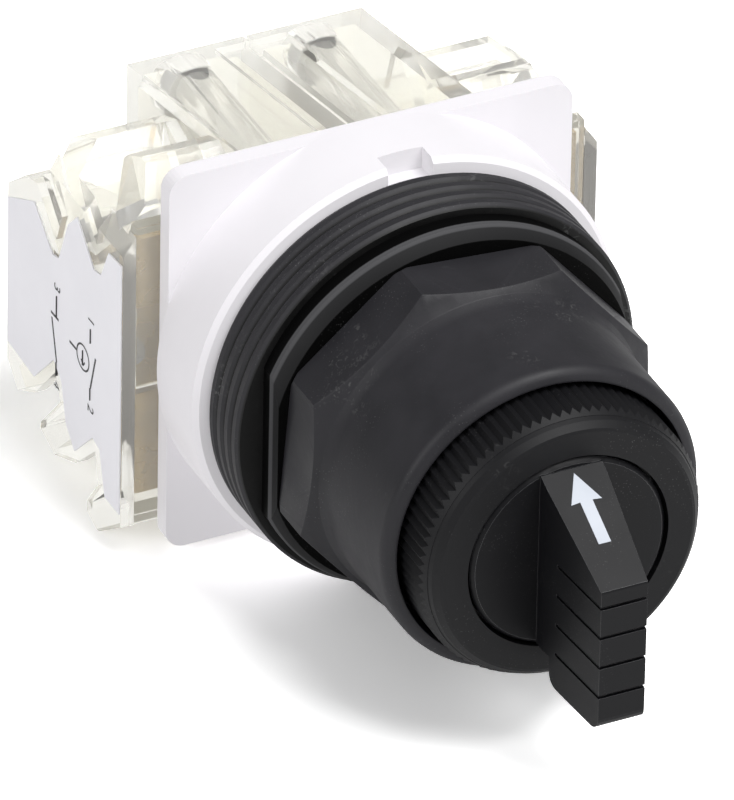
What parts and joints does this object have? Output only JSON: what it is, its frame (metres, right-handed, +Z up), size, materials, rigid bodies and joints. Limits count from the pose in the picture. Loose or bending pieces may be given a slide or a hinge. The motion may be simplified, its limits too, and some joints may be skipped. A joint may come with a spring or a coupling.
{
  "type": "selector switch",
  "caption": "Panel selector switch with a lever knob, a threaded bushing with gaskets and ring nut, and two clear contact blocks with screw terminals.",
  "frame": {"origin": "centre of the operator axis at the face of the base that seats on the back of the panel", "axes": "+Y along the operator axis from the knob to the contact blocks, +Z up, +X to the right seen from the knob"},
  "size_m": [0.0492, 0.0817, 0.0438],
  "materials": {
    "black_plastic": "matte",
    "black_metal": "satin",
    "gasket_rubber": "matte",
    "white_mark": "matte",
    "base_grey": "satin",
    "zinc_steel": "zinc plated",
    "spring_steel": "bright",
    "cam_nylon": "satin",
    "white_nylon": "satin",
    "clear_plastic": "clear moulded",
    "label_print": "printed film",
    "brass_strip": "satin",
    "dark_moulding": "matte"
  },
  "bodies": {
    "base": {"operator_base": "base_grey", "threaded_bushing": "black_plastic", "gasket_1": "gasket_rubber", "gasket_2": "gasket_rubber", "gasket_3": "gasket_rubber", "gasket_4": "gasket_rubber", "thrust_washer": "black_metal", "ring_nut": "black_plastic", "retaining_ring": "black_metal", "shaft_seal": "gasket_rubber", "detent_spring": "spring_steel", "left_housing": "clear_plastic", "right_housing": "clear_plastic", "left_cover": "clear_plastic", "right_cover": "clear_plastic", "left_label": "label_print", "right_label": "label_print", "left_terminal_1": "brass_strip", "left_terminal_2": "brass_strip", "left_terminal_3": "brass_strip", "left_terminal_4": "brass_strip", "right_terminal_1": "brass_strip", "right_terminal_2": "brass_strip", "right_terminal_3": "brass_strip", "right_terminal_4": "brass_strip", "left_wire_clamps": "zinc_steel", "right_wire_clamps": "zinc_steel", "left_terminal_screws": "zinc_steel", "right_terminal_screws": "zinc_steel", "left_return_spring": "spring_steel", "right_return_spring": "spring_steel", "left_mounting_screws": "zinc_steel", "right_mounting_screws": "zinc_steel"},
    "knob": {"knob": "black_plastic", "pointer_arrow": "white_mark", "spindle": "zinc_steel", "cam": "cam_nylon", "cam_clip": "zinc_steel"},
    "left_plunger": {"left_pusher": "white_nylon", "left_carrier": "dark_moulding", "left_front_bridge": "brass_strip", "left_rear_bridge": "brass_strip", "left_front_contact_spring": "spring_steel", "left_rear_contact_spring": "spring_steel"},
    "right_plunger": {"right_pusher": "white_nylon", "right_carrier": "dark_moulding", "right_front_bridge": "brass_strip", "right_rear_bridge": "brass_strip", "right_front_contact_spring": "spring_steel", "right_rear_contact_spring": "spring_steel"}
  },
  "joints": [
    {"name": "knob_turn", "type": "hinge", "parent": "base", "child": "knob", "pos_m": [0, 0, 0], "axis": [0, 1, 0], "range_deg": [-45, 45], "deforming": ["detent_spring"]},
    {"name": "right_push", "type": "slide", "parent": "base", "child": "right_plunger", "axis": [0, 1, 0], "range_m": [-0.0014, 0.0014], "deforming": ["right_return_spring"]},
    {"name": "left_push", "type": "slide", "parent": "base", "child": "left_plunger", "axis": [0, 1, 0], "range_m": [-0.0014, 0.0014], "deforming": ["left_return_spring"]}
  ],
  "couplings": [
    {"joint": "right_push", "follows": "knob_turn", "m_per_rad": 0.00178},
    {"joint": "left_push", "follows": "knob_turn", "m_per_rad": -0.00178}
  ]
}
